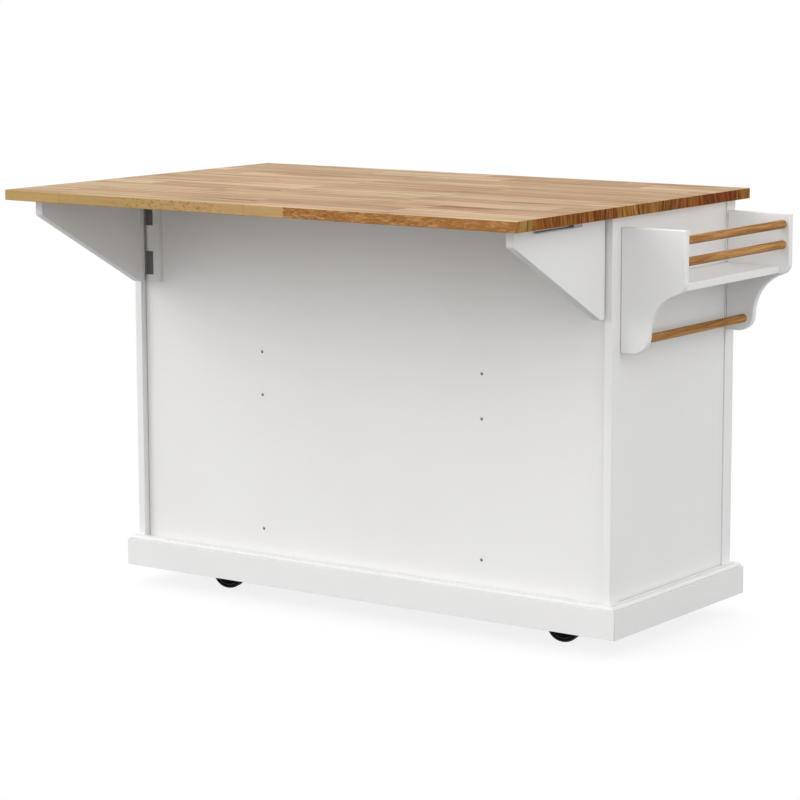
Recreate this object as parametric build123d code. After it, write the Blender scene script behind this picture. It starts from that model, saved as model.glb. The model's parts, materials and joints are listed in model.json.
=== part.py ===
from build123d import *
import os
from math import radians, sin

# A kitchen island on casters with a drop leaf at the back, two swing-out
# brackets that carry the leaf, doors and drawers at the front, and a spice
# rack with a towel bar on the left end (left and right as seen from the doors).
# While it is modelled, X runs along the island with 0 at the cabinet's middle,
# Y is 0 on the cabinet's back face with the doors at -Y, and Z is 0 on the
# floor. Every piece is moved to the part's own origin as it is saved.

# ---- worktop and leaf
top_end_overhang = 25.0
top_front_overhang = 17.0
top_thick = 22.0
top_height = 924.0
top_back_overhang = 22.5
leaf_depth = 364.0
leaf_gap = 1.5
top_edge_soft = 1.2

# ---- cabinet carcass
cabinet_length = 1250.0
cabinet_depth = 502.0
post_thick = 18.0
post_width = 35.0
post_floor_gap = 50.0
side_panel_thick = 12.0
side_panel_recess = 3.0
back_panel_thick = 5.0
back_panel_recess = 15.5
bottom_thick = 15.0
partition_thick = 15.0
partition_left_inset = 323.0
partition_right_inset = 349.0
back_sill_thick = 8.0
back_sill_rebate = 82.0
back_rail_height = 60.0
back_rail_thick = 20.0
board_soft = 0.8

# ---- plinth
plinth_floor_gap = 43.5
plinth_face = 59.5
plinth_mould = 10.0
plinth_side_proud = 21.5
plinth_back_proud = 16.5
plinth_front_proud = 21.5
mould_step = 3.0
mould_round = 6.0
mould_ledge = 4.0

# ---- face frame, doors and drawers
frame_thick = 18.5
outer_stile = 25.0
mid_stile = 30.0
top_rail = 28.0
bottom_rail = 20.0
drawer_rail = 20.0
drawer_opening = 120.0
door_thick = 18.0
door_gap = 2.5
door_stile = 50.0
door_panel_thick = 7.0
door_panel_recess = 6.0
door_groove = 6.0
door_hinge_inset = 70.0
door_soft = 1.2
drawer_side_thick = 12.0
drawer_bottom_thick = 5.0
drawer_bottom_lift = 8.0
drawer_box_depth = 400.0
drawer_box_height = 84.0
drawer_box_lift = 12.0
slide_height = 36.0
slide_gap = 12.5
slide_sheet = 1.2
slide_length = 380.0
slide_play = 0.4
slide_lip = 3.6
slide_bar = 2.4
spacer_height = 50.0

# ---- shelves
shelf_thick = 15.0
shelf_height = 430.0
shelf_play = 1.0
shelf_front_inset = 20.0
cleat_size = 15.0
cleat_front_inset = 40.0

# ---- knobs
knob_radius = 15.0
knob_neck = 6.0
knob_foot = 9.0
knob_waist = 9.0
knob_rim = 19.0
knob_face = 12.0
knob_reach = 25.0
knob_from_edge = 26.0
knob_door_height = 620.0

# ---- hinges
hinge_barrel = 3.0
hinge_pin = 1.4
hinge_pin_play = 0.05
hinge_knuckle_gap = 0.3
hinge_web_gap = 0.3
door_hinge_length = 60.0
door_hinge_width = 16.0
door_hinge_thick = 1.0
bracket_hinge_length = 52.0
bracket_hinge_width = 20.0
bracket_hinge_thick = 1.4
leaf_hinge_length = 60.0
leaf_hinge_width = 24.0
leaf_hinge_thick = 1.5
leaf_hinge_pitch = 200.0

# ---- swing brackets under the leaf
bracket_thick = 19.0
bracket_end_gap = 14.0
bracket_tip_reach = 336.0
bracket_tip_height = 34.0
bracket_drop = 206.0
bracket_foot = 16.0
bracket_leaf_gap = 0.5
bracket_corner = 5.0
bracket_hinge_top = 55.0
bracket_hinge_bottom = 165.0
batten_width = 30.0
stop_gap = 2.0
stop_width = 12.0
stop_thick = 2.8
stop_start = 114.0
stop_length = 157.0
stop_block = 31.0
stop_drop = 11.5

# ---- casters
caster_height = 100.0
caster_end_inset = 178.0
caster_inset = 73.0
caster_rest_turn = 14.0
caster_trail = 24.0
wheel_radius = 37.5
wheel_width = 24.0
wheel_hub_radius = 10.0
wheel_hub_width = 25.4
axle_radius = 4.0
axle_play = 0.06
fork_sheet = 2.5
fork_play = 0.5
fork_crown_radius = 22.0
fork_crown_thick = 3.0
fork_front = 18.0
fork_back = 30.0
fork_eye = 9.0
axle_head = 6.5
axle_head_thick = 4.0
plate_size = 58.0
plate_thick = 3.0
drum_height = 6.0
drum_radius = 20.0
race_gap = 0.5
kingpin_radius = 4.0
kingpin_head = 7.0
kingpin_head_thick = 2.5
brake_pivot_height = 80.0
brake_pivot_reach = 22.0
brake_pin = 2.0
brake_tube = 3.5
brake_reach = 62.0
brake_width = 22.0
brake_sheet = 2.5
brake_pad = 12.0
brake_pad_thick = 5.0
brake_pedal_lift = 0.5
brake_foot_start = 7.5
brake_foot_length = 6.0
brake_foot_drop = 4.0

# ---- spice rack and towel bar on the left end
rack_depth = 148.0
rack_top_drop = 45.0
rack_bottom_drop = 299.0
rack_panel_thick = 15.0
rack_back_inset = 32.0
rack_length = 450.0
rack_shoulder_drop = 150.0
rack_shoulder_in = 18.0
rack_shoulder_fall = 23.5
rack_waist_out = 65.0
rack_waist_drop = 262.0
rack_shelf_thick = 15.0
rack_shelf_depth = 126.0
rack_shelf_drop = 155.5
rail_radius = 9.0
rail_out = 132.5
rail_upper_drop = 67.0
rail_lower_drop = 110.0
towel_out = 42.0
towel_drop = 271.5
rail_socket = 7.0
rail_socket_play = 0.1

# ---- small fasteners
screw_head = 3.6
screw_proud = 0.8
screw_shank = 1.6
back_screw_length = 14.0
back_screw_heights = (164.0, 463.0, 558.0)
catch_size = 22.0
catch_depth = 14.0
catch_lap = 12.0
catch_drop = 40.0

# ---- places worked out from the sizes above
half = cabinet_length / 2
front_y = -cabinet_depth
top_ends = (-half - top_end_overhang, half + top_end_overhang)
top_front_y = front_y - top_front_overhang
partition_left_x = partition_left_inset - half
partition_right_x = half - partition_right_inset
under_top = top_height - top_thick
plinth_top = plinth_floor_gap + plinth_face + plinth_mould
bottom_top = caster_height + bottom_thick
post_in = half - post_thick
panel_out = half - side_panel_recess
panel_in = panel_out - side_panel_thick
back_y = -back_panel_recess
carcass_back_y = back_y - back_panel_thick
frame_back_y = front_y + frame_thick
opening_bottom = plinth_top + bottom_rail
opening_top = under_top - top_rail
drawer_bottom = opening_top - drawer_opening
side_door_top = drawer_bottom - drawer_rail
left_bay = (-post_in + outer_stile, partition_left_x - mid_stile / 2)
centre_bay = (partition_left_x + mid_stile / 2, partition_right_x - mid_stile / 2)
right_bay = (partition_right_x + mid_stile / 2, post_in - outer_stile)
partition_xs = (partition_left_x, partition_right_x)
bay_walls = (
    (-post_in, partition_left_x - partition_thick / 2),
    (partition_left_x + partition_thick / 2, partition_right_x - partition_thick / 2),
    (partition_right_x + partition_thick / 2, post_in),
)
leaf_hinge_offset = hinge_barrel + hinge_web_gap
leaf_axis_y = top_back_overhang + leaf_gap / 2
leaf_axis_z = under_top - leaf_hinge_offset
bracket_inner_x = half - bracket_end_gap - bracket_thick
bracket_offset = bracket_hinge_thick + hinge_web_gap
bracket_axis_x = bracket_inner_x - bracket_offset
bracket_back_y = bracket_offset + leaf_hinge_offset
bracket_top = under_top - bracket_leaf_gap
batten_outer_x = bracket_axis_x - leaf_hinge_offset
rack_x = -half
rack_back_y = -rack_back_inset
rack_front_y = rack_back_y - rack_length
rack_inside = (rack_front_y + rack_panel_thick, rack_back_y - rack_panel_thick)
rack_bar_places = (
    (rail_out, rail_upper_drop),
    (rail_out, rail_lower_drop),
    (towel_out, towel_drop),
)
caster_places = {
    "back_left": (caster_end_inset - half, -caster_inset),
    "back_right": (half - caster_end_inset, -caster_inset),
    "front_left": (caster_end_inset - half, front_y + caster_inset),
    "front_right": (half - caster_end_inset, front_y + caster_inset),
}

# ---- the part's origin: the middle of its footprint, on the floor
overall_x = (rack_x - rack_depth, top_ends[1])
overall_front = min(front_y - knob_reach, front_y - plinth_front_proud, top_front_y)
overall_y = (overall_front, top_back_overhang + leaf_gap + leaf_depth)
to_origin = Pos(-sum(overall_x) / 2, -sum(overall_y) / 2, 0)


def slab(x, y, z, soft=0.0):
    """A board between its low and high faces, with its edges broken by soft."""
    size = [high - low for low, high in (x, y, z)]
    middle = [(high + low) / 2 for low, high in (x, y, z)]
    board = Box(*size)
    if soft:
        board = chamfer(board.edges(), min(soft, min(size) / 3))
    return Pos(*middle) * board


def rod(radius, start, end):
    """A round bar from one point to another."""
    axis = Vector(*end) - Vector(*start)
    return extrude(Plane(origin=start, z_dir=axis) * Circle(radius), axis.length)


def mirror_x(shape):
    return mirror(shape, Plane.YZ)


def save(name, *shapes):
    solids = [solid for shape in shapes for solid in (to_origin * shape).solids()]
    export_step(Compound(children=solids), f"parts/{name}.step")


def hinge(length, width, thick, offset, turn):
    """A butt hinge on the Z axis: its fixed leaf runs to -Y and, laid flat, its
    moving leaf runs to +Y, both with their backs offset towards +X. The moving
    half is turned about the pin by turn degrees. Returns (fixed, moving)."""
    third = length / 3
    clear = hinge_barrel + hinge_web_gap
    bore = hinge_pin + hinge_pin_play

    def leaf(side, low_y, high_y, z):
        y = sorted((side * low_y, side * high_y))
        return slab((offset - thick, offset), y, z)

    def knuckle(low, high, radius):
        return rod(radius, (0, 0, low), (0, 0, high))

    fixed = leaf(-1, clear, width, (-length / 2, length / 2))
    moving = leaf(1, clear, width, (-length / 2, length / 2))
    for end in (-1, 1):
        z = sorted((end * (third / 2 + hinge_knuckle_gap), end * length / 2))
        fixed += knuckle(*z, hinge_barrel) + leaf(-1, 0, clear, z)
    fixed += knuckle(-length / 2, length / 2, hinge_pin)
    z = (-third / 2, third / 2)
    moving += knuckle(*z, hinge_barrel) + leaf(1, 0, clear, z)
    moving -= knuckle(*z, bore)
    return fixed, Rot(0, 0, turn) * moving


def wood_screw(place, direction, length):
    """A screw driven home, its flat round head a little proud of the face."""
    seat = Vector(*place)
    way = Vector(*direction)
    head = rod(screw_head, place, tuple(seat + way * screw_proud))
    return head + rod(screw_shank, tuple(seat - way * length), place)


def worktop():
    y = (top_front_y, top_back_overhang)
    return slab(top_ends, y, (under_top, top_height), top_edge_soft)


def drop_leaf():
    near = top_back_overhang + leaf_gap
    return slab(top_ends, (near, near + leaf_depth), (under_top, top_height), top_edge_soft)


def leaf_hinges():
    """Flap hinges laid flat on the underside, across the leaf's joint."""
    halves = hinge(
        leaf_hinge_length, leaf_hinge_width, leaf_hinge_thick, leaf_hinge_offset, 0
    )
    # the pin goes along X and the plates' backs look up at the worktop
    lay = Rot(0, -90, 0)
    places = [Pos(x, leaf_axis_y, leaf_axis_z) for x in (-leaf_hinge_pitch, 0, leaf_hinge_pitch)]
    return [[place * lay * half_hinge for place in places] for half_hinge in halves]


def posts():
    shapes = []
    for side in (-1, 1):
        x = sorted((side * post_in, side * half))
        for y in ((-post_width, 0), (front_y, front_y + post_width)):
            shapes.append(slab(x, y, (post_floor_gap, under_top), board_soft))
    return shapes


def side_panel(side):
    x = sorted((side * panel_in, side * panel_out))
    y = (front_y + post_width, -post_width)
    return slab(x, y, (post_floor_gap, under_top))


def back_sill():
    """Fills the back recess below the moulding and backs the plinth. Its lower
    part is thin, so that the casters' wheels swing past it."""
    x = (-post_in, post_in)
    thin = slab(x, (-back_sill_thick, 0), (post_floor_gap, back_sill_rebate))
    return thin + slab(x, (back_y, 0), (back_sill_rebate, plinth_top - plinth_mould / 2))


def back_panel():
    x = (-post_in, post_in)
    return slab(x, (carcass_back_y, back_y), (caster_height, under_top))


def back_screws():
    """Seat, direction and length of the screws through the back into each partition."""
    return [
        ((x, back_y, height), (0, 1, 0), back_screw_length)
        for x in partition_xs
        for height in back_screw_heights
    ]


def partition(x):
    half_thick = partition_thick / 2
    y = (frame_back_y, carcass_back_y)
    return slab((x - half_thick, x + half_thick), y, (bottom_top, under_top))


def bottom_panel():
    x = (-post_in, post_in)
    return slab(x, (frame_back_y, carcass_back_y), (caster_height, bottom_top))


def back_rails():
    """Rails between the uprights that take the worktop's screws."""
    z = (under_top - back_rail_height, under_top)
    y = (carcass_back_y - back_rail_thick, carcass_back_y)
    return [slab(wall, y, z) for wall in bay_walls]


def face_frame():
    y = (front_y, frame_back_y)
    z = (caster_height, under_top)
    stiles = [
        slab((-post_in, left_bay[0]), y, z, board_soft),
        slab((left_bay[1], centre_bay[0]), y, z, board_soft),
        slab((centre_bay[1], right_bay[0]), y, z, board_soft),
        slab((right_bay[1], post_in), y, z, board_soft),
    ]
    rails = []
    for bay in (left_bay, centre_bay, right_bay):
        rails.append(slab(bay, y, (caster_height, opening_bottom)))
        rails.append(slab(bay, y, (opening_top, under_top)))
    for bay in (left_bay, right_bay):
        rails.append(slab(bay, y, (side_door_top, drawer_bottom)))
    return stiles + rails


def plinth_profile(proud):
    """The plinth's section: u runs out from the cabinet and v up from its foot.
    Above the flat face a step, a bead and a small ledge run in to the cabinet."""
    face, crown = plinth_face, plinth_face + plinth_mould
    bead_out = proud - mould_step
    bead_in = bead_out - mould_round
    ledge_in = bead_in - mould_ledge
    rise = (crown + face) / 2 + mould_round / 2
    arc_mid = (bead_in + mould_round * sin(radians(45)), face + (rise - face) * 0.75)
    return make_face(
        [
            Polyline((0, 0), (proud, 0), (proud, face), (bead_out, face)),
            ThreePointArc((bead_out, face), arc_mid, (bead_in, rise)),
            Polyline((bead_in, rise), (ledge_in, rise), (ledge_in, crown)),
            Polyline((ledge_in, crown), (0, crown), (0, 0)),
        ]
    )


def plinth_boards():
    """Four mitred boards round the foot, as {name: board}."""
    x_out = half + plinth_side_proud
    y_out = (front_y - plinth_front_proud, plinth_back_proud)
    inner = [(-half, front_y), (half, front_y), (half, 0), (-half, 0)]
    outer = [(-x_out, y_out[0]), (x_out, y_out[0]), (x_out, y_out[1]), (-x_out, y_out[1])]
    sides = (
        ("front", (0, -1, 0), plinth_front_proud, cabinet_depth / 2),
        ("right", (1, 0, 0), plinth_side_proud, half),
        ("back", (0, 1, 0), plinth_back_proud, cabinet_depth / 2),
        ("left", (-1, 0, 0), plinth_side_proud, half),
    )
    boards = {}
    for i, (name, way, proud, face_out) in enumerate(sides):
        out = Vector(*way)
        foot = Vector(0, front_y / 2, plinth_floor_gap) + out * face_out
        # the section's first axis points out and its second points up
        section = Plane(origin=foot, x_dir=out, z_dir=out.cross(Vector(0, 0, 1)))
        board = extrude(section * plinth_profile(proud), cabinet_length, both=True)
        j = (i + 1) % len(sides)
        plan = make_face(Polyline(inner[i], inner[j], outer[j], outer[i], close=True))
        mitred = extrude(Pos(0, 0, plinth_floor_gap) * plan, plinth_face + plinth_mould)
        boards[name] = board & mitred
    return boards


def shelf(wall):
    x = (wall[0] + shelf_play, wall[1] - shelf_play)
    y = (frame_back_y + shelf_front_inset, carcass_back_y - shelf_play)
    return slab(x, y, (shelf_height, shelf_height + shelf_thick))


def shelf_cleats():
    """Strips along the bays' walls that the shelves rest on."""
    y = (frame_back_y + cleat_front_inset, carcass_back_y)
    z = (shelf_height - cleat_size, shelf_height)
    cleats = []
    for low, high in bay_walls:
        cleats.append(slab((low, low + cleat_size), y, z, board_soft))
        cleats.append(slab((high - cleat_size, high), y, z, board_soft))
    return cleats


def door(bay, top):
    """A framed door flush in its opening: two stiles, two rails and a panel in
    their grooves. Returns its solids."""
    x = bay
    z = (opening_bottom + door_gap, top - door_gap)
    y = (front_y, front_y + door_thick)
    panel_y = (front_y + door_panel_recess, front_y + door_panel_recess + door_panel_thick)
    inner_x = (x[0] + door_stile, x[1] - door_stile)
    inner_z = (z[0] + door_stile, z[1] - door_stile)
    panel = slab(
        (inner_x[0] - door_groove, inner_x[1] + door_groove),
        panel_y,
        (inner_z[0] - door_groove, inner_z[1] + door_groove),
    )
    members = [
        slab((x[0], inner_x[0]), y, z, door_soft),
        slab((inner_x[1], x[1]), y, z, door_soft),
        slab(inner_x, y, (z[0], inner_z[0]), door_soft),
        slab(inner_x, y, (inner_z[1], z[1]), door_soft),
    ]
    return [member - panel for member in members] + [panel]


def knob(x, z):
    """A turned knob whose foot stands on the front face."""
    profile = Polyline(
        (0, 0),
        (knob_foot, 0),
        (knob_neck, knob_waist),
        (knob_radius, knob_rim),
        (knob_face, knob_reach),
        (0, knob_reach),
        close=True,
    )
    turned = revolve(Plane.XZ * make_face(profile), Axis.Z)
    return Plane(origin=(x, front_y, z), z_dir=(0, -1, 0)) * turned


def door_hinges(edge_x, hand, top):
    """The two butt hinges of a door. edge_x is the middle of the gap on the
    hinge side and hand is 1 if the door runs to +X from it. Returns lists of
    fixed and moving halves; their pins stand just in front of the face."""
    offset = door_gap / 2
    fixed, moving = hinge(
        door_hinge_length, door_hinge_width + hinge_barrel, door_hinge_thick, offset, 180
    )
    turn = Rot(0, 0, 180)
    y = front_y - hinge_barrel - hinge_web_gap
    halves = ([], [])
    for z in (opening_bottom + door_hinge_inset, top - door_hinge_inset):
        for half_list, shape in zip(halves, (fixed, moving)):
            placed = turn * shape
            if hand < 0:
                placed = mirror_x(placed)
            half_list.append(Pos(edge_x, y, z) * placed)
    return halves


def drawer(bay):
    """A drawer's front, its box boards, its slide bars and the fixed channels."""
    front_x = (bay[0] + door_gap, bay[1] - door_gap)
    z = (drawer_bottom + door_gap, opening_top - door_gap)
    front = slab(front_x, (front_y, frame_back_y), z, door_soft)
    box_x = (bay[0] + slide_gap, bay[1] - slide_gap)
    box_z = (drawer_bottom + drawer_box_lift, drawer_bottom + drawer_box_lift + drawer_box_height)
    box_y = (frame_back_y, frame_back_y + drawer_box_depth)
    wall = drawer_side_thick
    floor_z = box_z[0] + drawer_bottom_lift
    panel = slab(
        (box_x[0] + wall / 2, box_x[1] - wall / 2),
        (box_y[0] + wall / 2, box_y[1] - wall / 2),
        (floor_z, floor_z + drawer_bottom_thick),
    )
    sides = [
        slab((box_x[0], box_x[0] + wall), box_y, box_z),
        slab((box_x[1] - wall, box_x[1]), box_y, box_z),
        slab((box_x[0] + wall, box_x[1] - wall), (box_y[0], box_y[0] + wall), box_z),
        slab((box_x[0] + wall, box_x[1] - wall), (box_y[1] - wall, box_y[1]), box_z),
    ]
    box = [side - panel for side in sides] + [panel]
    return front, box


def slide_pair(bay, walls):
    """Channels on spacer blocks and the bars that run in them, one each side."""
    channels, bars, spacers = [], [], []
    middle = drawer_bottom + drawer_box_lift + drawer_box_height / 2
    y = (frame_back_y, frame_back_y + slide_length)
    lip = slide_height / 2
    for side, edge, wall in ((1, bay[0], walls[0]), (-1, bay[1], walls[1])):
        def span(low, high):
            return sorted((edge + side * low, edge + side * high))

        deep = slide_gap - slide_play - slide_sheet
        outer = slab(span(0, deep), y, (middle - lip, middle + lip))
        hollow_z = (middle - lip + slide_sheet, middle + lip - slide_sheet)
        hollow = slab(span(slide_sheet, deep + 1), y, hollow_z)
        channel = outer - hollow
        for end in (-1, 1):
            z = sorted((middle + end * lip, middle + end * (lip - slide_lip)))
            channel += slab(span(deep - slide_sheet, deep), y, z)
        channels.append(channel)
        under_lip = deep - slide_sheet - slide_play
        inner = lip - slide_sheet - slide_play
        flange_z = (middle - inner, middle + inner)
        neck_z = (middle - inner + slide_lip, middle + inner - slide_lip)
        flange = slab(span(under_lip - slide_bar, under_lip), y, flange_z)
        bars.append(flange + slab(span(under_lip, slide_gap), y, neck_z))
        x = sorted((edge, wall))
        z = (middle - spacer_height / 2, middle + spacer_height / 2)
        spacers.append(slab(x, (frame_back_y, carcass_back_y), z))
    return channels, bars, spacers


def catches():
    """Magnet catches: one on each partition that laps behind a side door's free
    edge, and one behind the top rail for the centre pair."""
    y = (frame_back_y, frame_back_y + catch_depth)
    z = (side_door_top - catch_drop - catch_size, side_door_top - catch_drop)
    blocks = []
    for wall, edge in ((bay_walls[0][1], left_bay[1]), (bay_walls[2][0], right_bay[0])):
        facing = 1 if edge > wall else -1
        blocks.append(slab(sorted((wall, edge + facing * catch_lap)), y, z, board_soft))
    middle = sum(centre_bay) / 2
    x = (middle - catch_size, middle + catch_size)
    z = (opening_top - catch_lap, opening_top + catch_lap)
    return [*blocks, slab(x, y, z, board_soft)]


def bracket():
    """The right bracket as it stands opened out, square to the cabinet."""
    reach = bracket_tip_reach
    outline = Polyline(
        (bracket_back_y, bracket_top),
        (reach, bracket_top),
        (reach, bracket_top - bracket_tip_height),
        (bracket_back_y + bracket_foot, bracket_top - bracket_drop),
        (bracket_back_y, bracket_top - bracket_drop),
        close=True,
    )
    plate = extrude(Plane.YZ * make_face(outline), bracket_thick)
    plate = Pos(bracket_inner_x, 0, 0) * plate
    corners = plate.edges().filter_by(Axis.X).group_by(Axis.Y)[-1]
    plate = fillet(corners, bracket_corner)
    faces = plate.faces().filter_by(Axis.X)
    return chamfer(faces.edges(), board_soft)


def bracket_hinges():
    fixed, moving = hinge(
        bracket_hinge_length, bracket_hinge_width, bracket_hinge_thick, bracket_offset, 90
    )
    lay = Rot(0, 0, -90)
    halves = ([], [])
    for drop in (bracket_hinge_top, bracket_hinge_bottom):
        seat = Pos(bracket_axis_x, bracket_offset, bracket_top - drop)
        halves[0].append(seat * lay * fixed)
        halves[1].append(seat * lay * moving)
    return halves


def batten():
    x = (batten_outer_x - batten_width, batten_outer_x)
    z = (bracket_top - bracket_drop, under_top)
    return slab(x, (back_y, 0), z, board_soft)


def leaf_stop():
    """A steel bar beside the opened bracket, held just clear of the leaf's
    underside by a block at its inner end."""
    inner_x = bracket_inner_x + bracket_thick + stop_gap
    x = (inner_x, inner_x + stop_width)
    low = under_top - stop_drop
    bar = slab(x, (stop_start, stop_start + stop_length), (low, low + stop_thick))
    return bar + slab(x, (stop_start, stop_start + stop_block), (low, under_top))


def caster_mount():
    """Top plate, raceway drum and headed king pin, standing on the swivel axis."""
    edge = (-plate_size / 2, plate_size / 2)
    drum_top = caster_height - plate_thick
    drum_low = drum_top - drum_height
    head_top = drum_low - race_gap - fork_crown_thick - fork_sheet - race_gap
    mount = slab(edge, edge, (drum_top, caster_height))
    mount += rod(drum_radius, (0, 0, drum_low), (0, 0, drum_top))
    mount += rod(kingpin_radius, (0, 0, head_top), (0, 0, drum_low))
    return mount + rod(kingpin_head, (0, 0, head_top - kingpin_head_thick), (0, 0, head_top))


def caster_fork():
    """A pressed fork under a round crown, with its axle bolt, trailing to +X."""
    crown_top = caster_height - plate_thick - drum_height - race_gap
    bridge_top = crown_top - fork_crown_thick
    bridge_low = bridge_top - fork_sheet
    inner = wheel_hub_width / 2 + fork_play
    outer = inner + fork_sheet
    eye = (caster_trail, wheel_radius)
    shape = rod(fork_crown_radius, (0, 0, bridge_top), (0, 0, crown_top))
    shape += slab((-fork_front, fork_back), (-outer, outer), (bridge_low, bridge_top))
    outline = make_hull(
        [
            *(Pos(*eye) * Circle(fork_eye)).edges(),
            *Polyline((-fork_front, bridge_top), (fork_back, bridge_top)).edges(),
        ]
    )
    side = extrude(Plane.XZ * outline, fork_sheet)
    for low in (-outer, inner):
        shape += Pos(0, low + fork_sheet, 0) * side
    shape -= rod(kingpin_radius + axle_play, (0, 0, bridge_low), (0, 0, crown_top))
    shape += across(axle_radius, eye, -outer, outer)
    hexagon = RegularPolygon(axle_head, 6)
    for start, way in ((outer, -1), (-outer, 1)):
        seat = Plane(origin=(caster_trail, start, wheel_radius), z_dir=(0, -way, 0))
        shape += extrude(seat * hexagon, axle_head_thick)
    return shape


def across(radius, place, low, high):
    """A round bar along Y through (x, z)."""
    return rod(radius, (place[0], low, place[1]), (place[0], high, place[1]))


def caster_wheel():
    """A moulded wheel: a flat-treaded disc and a hub that stands a little proud."""
    axle = (caster_trail, wheel_radius)
    wheel = across(wheel_radius, axle, -wheel_width / 2, wheel_width / 2)
    wheel += across(wheel_hub_radius, axle, -wheel_hub_width / 2, wheel_hub_width / 2)
    return wheel - across(axle_radius + axle_play, axle, -wheel_width, wheel_width)


def brake_lever():
    """A pedal on a tube above the wheel, with a foot that comes down on the tread."""
    pivot = (brake_pivot_reach, brake_pivot_height)
    y = (-brake_width / 2, brake_width / 2)
    low = brake_pivot_height + brake_pedal_lift
    foot_x = brake_pivot_reach + brake_foot_start
    lever = across(brake_tube, pivot, *y)
    lever += slab((brake_pivot_reach, brake_reach), y, (low, low + brake_sheet))
    lever += slab((brake_reach - brake_pad, brake_reach), y, (low, low + brake_pad_thick))
    lever += slab((foot_x, foot_x + brake_foot_length), y, (low - brake_foot_drop, low))
    return lever - across(brake_pin + axle_play, pivot, *y)


def brake_pin_bar():
    reach = wheel_hub_width / 2 + fork_play + fork_sheet
    return across(brake_pin, (brake_pivot_reach, brake_pivot_height), -reach, reach)


def caster_place(name):
    x, y = caster_places[name]
    return Pos(x, y, 0) * Rot(0, 0, 180 + caster_rest_turn)


def rack_outline():
    """The scrolled side panel, seen along Y: u runs out from the cabinet. A hollow
    sweep comes down to an upright waist, and a round foot turns in below it."""
    top, bottom = -rack_top_drop, -rack_bottom_drop
    shoulder = (rack_depth, -rack_shoulder_drop)
    turn = (rack_depth - rack_shoulder_in, -rack_shoulder_drop - rack_shoulder_fall)
    waist = (rack_waist_out, -rack_waist_drop)
    foot = (rack_waist_out - (rack_bottom_drop - rack_waist_drop), bottom)
    return make_face(
        [
            Polyline(foot, (0, bottom), (0, top), (rack_depth, top), shoulder),
            TangentArc(shoulder, turn, tangent=(0, -1)),
            TangentArc(waist, turn, tangent=(0, 1)),
            TangentArc(waist, foot, tangent=(0, -1)),
        ]
    )


def rack_bar(out, drop):
    x, z = rack_x - out, top_height - drop
    y = (rack_inside[0] - rail_socket, rack_inside[1] + rail_socket)
    return rod(rail_radius, (x, y[0], z), (x, y[1], z))


def rack_bar_socket(out, drop):
    x, z = rack_x - out, top_height - drop
    reach = rail_socket + rail_socket_play
    y = (rack_inside[0] - reach, rack_inside[1] + reach)
    return rod(rail_radius + rail_socket_play, (x, y[0], z), (x, y[1], z))


def rack_panels():
    flat = mirror_x(extrude(Plane.XZ * rack_outline(), rack_panel_thick))
    panels = []
    for high in (rack_back_y, rack_front_y + rack_panel_thick):
        panel = Pos(rack_x, high, top_height) * flat
        for place in rack_bar_places:
            panel -= rack_bar_socket(*place)
        panels.append(panel)
    return panels


def rack_shelf():
    z = (top_height - rack_shelf_drop - rack_shelf_thick, top_height - rack_shelf_drop)
    return slab((rack_x - rack_shelf_depth, rack_x), rack_inside, z, board_soft)


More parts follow.
